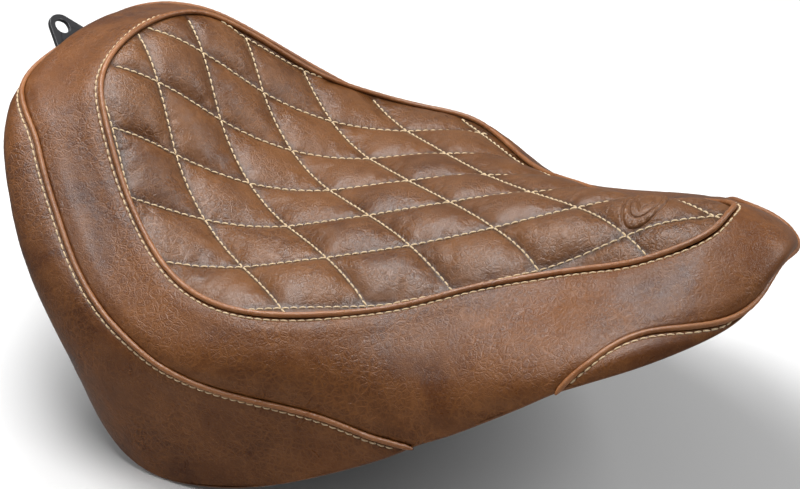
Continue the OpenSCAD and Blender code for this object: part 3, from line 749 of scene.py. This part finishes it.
class Shader:
    """Small helper that builds a node material."""

    def __init__(self, name, **settings):
        self.material = bpy.data.materials.new(name)
        self.material.use_nodes = True
        self.tree = self.material.node_tree
        self.main = next(n for n in self.tree.nodes if n.type == "BSDF_PRINCIPLED")
        for socket, value in settings.items():
            self.main.inputs[socket.replace("_", " ")].default_value = value
        self.place = self.add("ShaderNodeTexCoord").outputs["Object"]

    def add(self, kind, links=None, values=None, **fields):
        node = self.tree.nodes.new(kind)
        for key, value in fields.items():
            setattr(node, key, value)
        for key, value in (values or {}).items():
            node.inputs[key].default_value = value
        for key, value in (links or {}).items():
            self.tree.links.new(value, node.inputs[key])
        return node

    def noise(self, scale, detail=3.0, roughness=0.5, distortion=0.0, at=None, kind="FBM"):
        values = {"Scale": scale, "Detail": detail, "Roughness": roughness, "Distortion": distortion}
        return self.add("ShaderNodeTexNoise", {"Vector": at or self.place}, values, noise_type=kind)

    def warped(self, scale, amount):
        """The object's coordinates, pushed about by a noise."""
        push = self.noise(scale, 2).outputs["Color"]
        centred = self.add("ShaderNodeVectorMath", {0: push}, {1: (0.5, 0.5, 0.5)}, operation="SUBTRACT")
        scaled = self.add("ShaderNodeVectorMath", {0: centred.outputs[0]}, {3: amount}, operation="SCALE")
        links = {0: self.place, 1: scaled.outputs[0]}
        return self.add("ShaderNodeVectorMath", links, operation="ADD").outputs[0]

    def ramp(self, source, *stops):
        """Grey values at positions along a ramp."""
        node = self.add("ShaderNodeMapRange", {"Value": source})
        (a, low), (b, high) = stops
        for key, value in (("From Min", a), ("From Max", b), ("To Min", low), ("To Max", high)):
            node.inputs[key].default_value = value
        node.interpolation_type = "SMOOTHSTEP"
        return node.outputs["Result"]

    def mix(self, share, a, b, blend="MIX"):
        node = self.add("ShaderNodeMix", data_type="RGBA", blend_type=blend)
        for socket, value in ((0, share), (6, a), (7, b)):
            if isinstance(value, (int, float)):
                node.inputs[socket].default_value = value
            elif isinstance(value, tuple):
                node.inputs[socket].default_value = (*value, 1)
            else:
                self.tree.links.new(value, node.inputs[socket])
        return node.outputs[2]

    def math(self, operation, a, b=0.0):
        node = self.add("ShaderNodeMath", operation=operation)
        for socket, value in ((0, a), (1, b)):
            if isinstance(value, (int, float)):
                node.inputs[socket].default_value = value
            else:
                self.tree.links.new(value, node.inputs[socket])
        return node.outputs[0]

    def bump(self, height, distance, strength=1.0, under=None):
        links = {"Height": height}
        if under is not None:
            links["Normal"] = under
        values = {"Distance": distance, "Strength": strength}
        return self.add("ShaderNodeBump", links, values).outputs["Normal"]

    def finish(self, color=None, roughness=None, normal=None):
        for socket, value in (("Base Color", color), ("Roughness", roughness), ("Normal", normal)):
            if value is not None:
                self.tree.links.new(value, self.main.inputs[socket])
        return self.material


def leather(name, dark, middle, light, gloss=0.7, rough=(0.27, 0.40), creases=1.0):
    """Distressed pull-up leather: mottled and paler on its creases, with painted shade darkening its grooves
    and the leather beside its seams.
    """
    sh = Shader(name, IOR=1.5, Specular_IOR_Level=gloss, Coat_Weight=0.12 * gloss, Coat_Roughness=0.2)
    broad = sh.ramp(sh.noise(10, 3, 0.55, 0.4).outputs["Fac"], (0.32, 0.0), (0.70, 1.0))
    blotch = sh.ramp(sh.noise(38, 5, 0.65, 0.8).outputs["Fac"], (0.32, 0.0), (0.72, 1.0))
    where = sh.ramp(sh.noise(24, 3, 0.6, 0.6).outputs["Fac"], (0.36, 0.15), (0.60, 1.0))
    lines = []
    for size, blur in ((210, 0.0045), (390, 0.0022)):
        grain = {"Vector": sh.warped(110, blur)}
        values = {"Scale": size, "Randomness": 1.0}
        cell = sh.add("ShaderNodeTexVoronoi", grain, values, feature="DISTANCE_TO_EDGE")
        lines.append(sh.ramp(cell.outputs["Distance"], (0.0, 1.0), (0.16, 0.0)))
    veins = sh.math("MULTIPLY", sh.math("MAXIMUM", lines[0], sh.math("MULTIPLY", lines[1], 0.6)), where)
    small = sh.noise(420, 4, 0.6, 1.0, sh.warped(180, 0.0025)).outputs["Fac"]
    pebble = {"Vector": sh.warped(300, 0.0012)}
    cells = sh.add("ShaderNodeTexVoronoi", pebble, {"Scale": 1000}, feature="DISTANCE_TO_EDGE")
    pores = sh.ramp(cells.outputs["Distance"], (0.0, 0.0), (0.15, 1.0))
    painted_shade_relief = sh.add("ShaderNodeAttribute", attribute_name="painted_shade_relief").outputs["Fac"]
    base = sh.mix(broad, dark, middle)
    base = sh.mix(sh.math("MULTIPLY", blotch, 0.40), base, light)
    base = sh.mix(sh.math("MULTIPLY", veins, 0.42 * creases), base, light)
    base = sh.mix(sh.math("MULTIPLY", sh.ramp(small, (0.50, 0.0), (0.68, 1.0)), 0.30), base, light)
    # Painted shade: in the grooves and beside the seams, the colour goes towards a quarter of the dark tone.
    base = sh.mix(sh.ramp(painted_shade_relief, (0.0, 0.65), (0.30, 0.0)), base, tuple(0.25 * c for c in dark))
    shine = sh.math("ADD", sh.math("MULTIPLY", blotch, rough[1] - rough[0]), rough[0])
    rumple = sh.noise(150, 4, 0.6, 0.8, sh.warped(50, 0.006)).outputs["Fac"]
    rumple = sh.math("MULTIPLY", rumple, sh.ramp(where, (0.1, 0.25), (1.0, 1.0)))
    normal = sh.bump(rumple, 0.00035)
    normal = sh.bump(veins, -0.00018 * creases, under=normal)
    normal = sh.bump(small, 0.00024, under=normal)
    normal = sh.bump(pores, 0.00005, under=normal)
    return sh.finish(base, shine, normal)


def thread(name, color, shade):
    sh = Shader(name, Sheen_Weight=0.25, Sheen_Roughness=0.5)
    values = {"Scale": 1100, "Distortion": 2.0}
    twist = sh.add("ShaderNodeTexWave", {"Vector": sh.place}, values, bands_direction="DIAGONAL")
    fuzz = sh.noise(1800, 3).outputs["Fac"]
    # Painted shade: the darker colour lies in the twist's grooves; the noise on the next line adds darker
    # tone at random.
    base = sh.mix(twist.outputs["Fac"], shade, color)
    base = sh.mix(sh.math("MULTIPLY", sh.noise(60, 2).outputs["Fac"], 0.5), base, shade)
    rough = sh.ramp(fuzz, (0.2, 0.55), (0.8, 0.8))
    return sh.finish(base, rough, sh.bump(twist.outputs["Fac"], 0.00012))


def powder_coat(name):
    sh = Shader(name, IOR=1.5, Coat_Weight=0.15)
    speck = sh.noise(1500, 3).outputs["Fac"]
    worn = sh.ramp(sh.noise(90, 6, 0.7).outputs["Fac"], (0.62, 0.0), (0.8, 1.0))
    base = sh.mix(worn, (0.012, 0.012, 0.014), (0.05, 0.05, 0.055))
    return sh.finish(base, sh.ramp(speck, (0.3, 0.30), (0.7, 0.44)), sh.bump(speck, 0.00008))


def moulded_plastic(name):
    sh = Shader(name, IOR=1.46)
    texture = sh.noise(900, 4, 0.6).outputs["Fac"]
    flow = sh.noise(14, 4, 0.6, 1.5).outputs["Fac"]
    base = sh.mix(flow, (0.018, 0.018, 0.020), (0.034, 0.034, 0.037))
    return sh.finish(base, sh.ramp(flow, (0.3, 0.42), (0.7, 0.58)), sh.bump(texture, 0.00012))


def rubber(name):
    sh = Shader(name, IOR=1.52)
    dust = sh.noise(120, 6, 0.7).outputs["Fac"]
    base = sh.mix(sh.ramp(dust, (0.5, 0.0), (0.8, 1.0)), (0.014, 0.014, 0.014), (0.05, 0.048, 0.045))
    grain = sh.bump(sh.noise(700, 3).outputs["Fac"], 0.0001)
    return sh.finish(base, sh.ramp(dust, (0.3, 0.62), (0.7, 0.85)), grain)


def zinc(name):
    sh = Shader(name, Metallic=1.0)
    grain = sh.noise(500, 5, 0.65).outputs["Fac"]
    tint = sh.mix(sh.noise(70, 3).outputs["Fac"], (0.50, 0.51, 0.53), (0.66, 0.64, 0.58))
    return sh.finish(tint, sh.ramp(grain, (0.3, 0.24), (0.7, 0.42)), sh.bump(grain, 0.00004))


def carpet(name):
    sh = Shader(name, Sheen_Weight=0.4, Sheen_Roughness=0.6)
    pile = sh.noise(1400, 4, 0.7).outputs["Fac"]
    base = sh.mix(pile, (0.02, 0.02, 0.022), (0.09, 0.09, 0.095))
    return sh.finish(base, sh.ramp(pile, (0.2, 0.85), (0.8, 0.98)), sh.bump(pile, 0.0008))


def vinyl(name):
    sh = Shader(name, IOR=1.5)
    cells = sh.add("ShaderNodeTexVoronoi", {"Vector": sh.place}, {"Scale": 700}, feature="DISTANCE_TO_EDGE")
    grain = sh.ramp(cells.outputs["Distance"], (0.0, 0.0), (0.2, 1.0))
    tone = sh.noise(40, 4).outputs["Fac"]
    base = sh.mix(tone, (0.022, 0.018, 0.015), (0.04, 0.033, 0.028))
    return sh.finish(base, sh.ramp(tone, (0.3, 0.45), (0.7, 0.6)), sh.bump(grain, 0.00012))


hide = leather(
    "smooth_leather", (0.052, 0.0130, 0.0018), (0.112, 0.0340, 0.0054), (0.23, 0.086, 0.020),
    gloss=0.38,
)
quilt_hide = leather(
    "quilted_leather", (0.060, 0.0185, 0.0038), (0.110, 0.0390, 0.0088), (0.22, 0.090, 0.027),
    gloss=0.46,
)
caramel = leather(
    "welt_leather", (0.15, 0.049, 0.011), (0.25, 0.086, 0.022), (0.38, 0.160, 0.055),
    gloss=0.6, creases=0.5,
)
cream = thread("cream_thread", (0.86, 0.70, 0.46), (0.62, 0.43, 0.23))

# ---------------------------------------------------------------- build


def dress(piece, material, body="seat"):
    piece.data.materials.clear()
    piece.data.materials.append(material)
    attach(piece, body)
    return piece


band = dress(make_side_band(), hide)
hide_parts("side_band")
rear = dress(make_skirt("rear_skirt_leather", rear_seam), hide)
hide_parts("rear_skirt")
nose = dress(make_skirt("nose_skirt_leather", nose_seam), hide)
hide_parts("nose_skirt")
dress(make_hem_fold(), hide)
for piece, node in zip(make_welts(), ("insert_welt", "rear_welt", "nose_welt")):
    dress(piece, caramel)
    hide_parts(node)
quilt, quilt_point, quilt_normal, quilt_held = make_quilt()
swell_quilt(quilt, quilt_held)
set_painted_shade_relief(quilt, quilt_painted_shade_relief(quilt, quilt_point, quilt_normal))
smoother = quilt.modifiers.new("smoother", "SUBSURF")
smoother.levels = smoother.render_levels = 1
press_badge(quilt)
dress(quilt, quilt_hide)
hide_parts("quilt_cover", "quilt_foam", "foam_bun")
bpy.context.view_layer.update()
dress(quilt_stitches(surface_of(quilt)), cream)
band_tree = surface_of(band)
row_points, row_normals = side_point(everywhere, np.full(COLUMNS, INSERT_ROW))
dress(row_stitches("insert_row_thread", band_tree, row_points, row_normals), cream)
for name, at, piece in (("rear_row_thread", rear_seam, rear), ("nose_row_thread", nose_seam, nose)):
    columns = skirt_columns(at + SKIRT_ROW)
    row_points, row_normals = side_point(columns, at[columns] + SKIRT_ROW)
    dress(row_stitches(name, surface_of(piece), row_points, row_normals), cream)

# CAD nodes that show as they are
finishes = {
    "painted": (powder_coat("black_steel"), ["rear_bracket", "front_tongue"]),
    "plastic": (moulded_plastic("black_plastic"), ["base_pan"]),
    "rubber": (rubber("black_rubber"), ["front_bumpers", "rear_bumpers"]),
    "zinc": (zinc("zinc_steel"), ["bracket_bolts", "bracket_washers", "bracket_nuts", "bracket_backing_plate",
                                   "tongue_rivets", "tongue_backing_plate", "bumper_screws", "hem_staples"]),
    "carpet": (carpet("grey_carpet"), ["channel_carpet"]),
    "vinyl": (vinyl("black_vinyl"), ["hem_strip"]),
}
for material, names in finishes.values():
    for name in names:
        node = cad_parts[name]
        node.data.materials.clear()
        node.data.materials.append(material)
ROUNDED_EDGES = {
    "rear_bracket": 0.5, "front_tongue": 0.5, "bracket_backing_plate": 0.3,
    "bracket_bolts": 0.25, "bracket_nuts": 0.3, "bracket_washers": 0.15,
    "front_bumpers": 0.8, "rear_bumpers": 0.8, "bumper_screws": 0.2, "hem_staples": 0.12,
}
for name, round_off in ROUNDED_EDGES.items():
    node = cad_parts[name]
    join = node.modifiers.new("join", "WELD")
    join.merge_threshold = 0.01 * MM
    edges = node.modifiers.new("edges", "BEVEL")
    edges.width, edges.segments = round_off * MM, 2
    edges.limit_method, edges.angle_limit = "ANGLE", math.radians(40)
    shade = node.modifiers.new("shade", "WEIGHTED_NORMAL")
    shade.keep_sharp = True

# ---------------------------------------------------------------- stage


def area_light(name, place, aim, size, glow):
    """A soft box that faces a point; glow is the brightness of its face."""
    data = bpy.data.lights.new(name, "AREA")
    data.shape = "RECTANGLE"
    data.size, data.size_y = size
    data.energy = glow * math.pi * size[0] * size[1]
    lamp = bpy.data.objects.new(name, data)
    bpy.context.scene.collection.objects.link(lamp)
    lamp.location = place
    lamp.rotation_mode = "QUATERNION"
    lamp.rotation_quaternion = (Vector(aim) - Vector(place)).to_track_quat("-Z", "Y")


def clear_below(sh):
    """Lets a camera under the floor see the seat's underside."""
    behind = sh.add("ShaderNodeNewGeometry").outputs["Backfacing"]
    clear = sh.add("ShaderNodeBsdfTransparent").outputs[0]
    either = sh.add("ShaderNodeMixShader", {0: behind, 1: sh.main.outputs[0], 2: clear})
    output = next(n for n in sh.tree.nodes if n.type == "OUTPUT_MATERIAL")
    sh.tree.links.new(either.outputs[0], output.inputs["Surface"])


def stage():
    """Pale floor, dim white surroundings and five soft boxes."""
    low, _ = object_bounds()
    size = 6.0
    mesh = bpy.data.meshes.new("floor")
    z = low.z - 0.5 * MM
    corners = [(-size, -size, z), (size, -size, z), (size, size, z), (-size, size, z)]
    mesh.from_pydata(corners, [], [(0, 1, 2, 3)])
    floor = bpy.data.objects.new("floor", mesh)
    bpy.context.scene.collection.objects.link(floor)
    floor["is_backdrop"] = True
    floor.visible_glossy = False  # as a dark card would, this keeps the sides' colour deep
    sh = Shader("pale_floor", Roughness=0.9)
    tone = sh.mix(sh.noise(3, 2).outputs["Fac"], (0.80, 0.80, 0.80), (0.84, 0.84, 0.84))
    mesh.materials.append(sh.finish(tone))
    clear_below(sh)
    world = bpy.data.worlds.new("studio")
    bpy.context.scene.world = world
    world.use_nodes = True
    sky = world.node_tree.nodes["Background"].inputs
    sky["Color"].default_value = (1, 1, 1, 1)
    sky["Strength"].default_value = 0.22
    middle = (0.25, 0, -0.08)
    for name, x, y, size, glow in (
        ("nose_box", 0.20, -0.22, (0.30, 0.60), 13.5),
        ("tail_box", -0.20, 0.20, (0.5, 0.8), 9.5),
        ("side_box", -0.38, -1.0, (0.35, 0.4), 5.0),
    ):
        area_light(name, (x, y, BOX_HEIGHT), (x, y, 0), size, glow)
    area_light("front_box", (1.30, 0.80, 0.90), middle, (0.9, 0.7), 6.5)
    area_light("left_strip", (-1.2, -0.7, 0.30), middle, (0.30, 0.7), 1.6)
    bpy.context.scene.view_settings.view_transform = "Standard"


def camera():
    """Three-quarter view on the seat's right side."""
    data = bpy.data.cameras.new("camera")
    data.sensor_width, data.lens = 36, CAMERA_LENS
    data.clip_start, data.clip_end = 0.05, 30
    cam = bpy.data.objects.new("camera", data)
    bpy.context.scene.collection.objects.link(cam)
    right = Vector((math.cos(CAMERA_TURN), math.sin(CAMERA_TURN), 0))
    level = Vector((math.sin(CAMERA_TURN), -math.cos(CAMERA_TURN), 0))
    back = level * math.cos(CAMERA_RISE) + Vector((0, 0, math.sin(CAMERA_RISE)))
    spot = Matrix((right, back.cross(right), back)).transposed().to_4x4()
    spot.translation = CAMERA_PLACE
    cam.matrix_world = spot
    bpy.context.scene.camera = cam


stage()
camera()
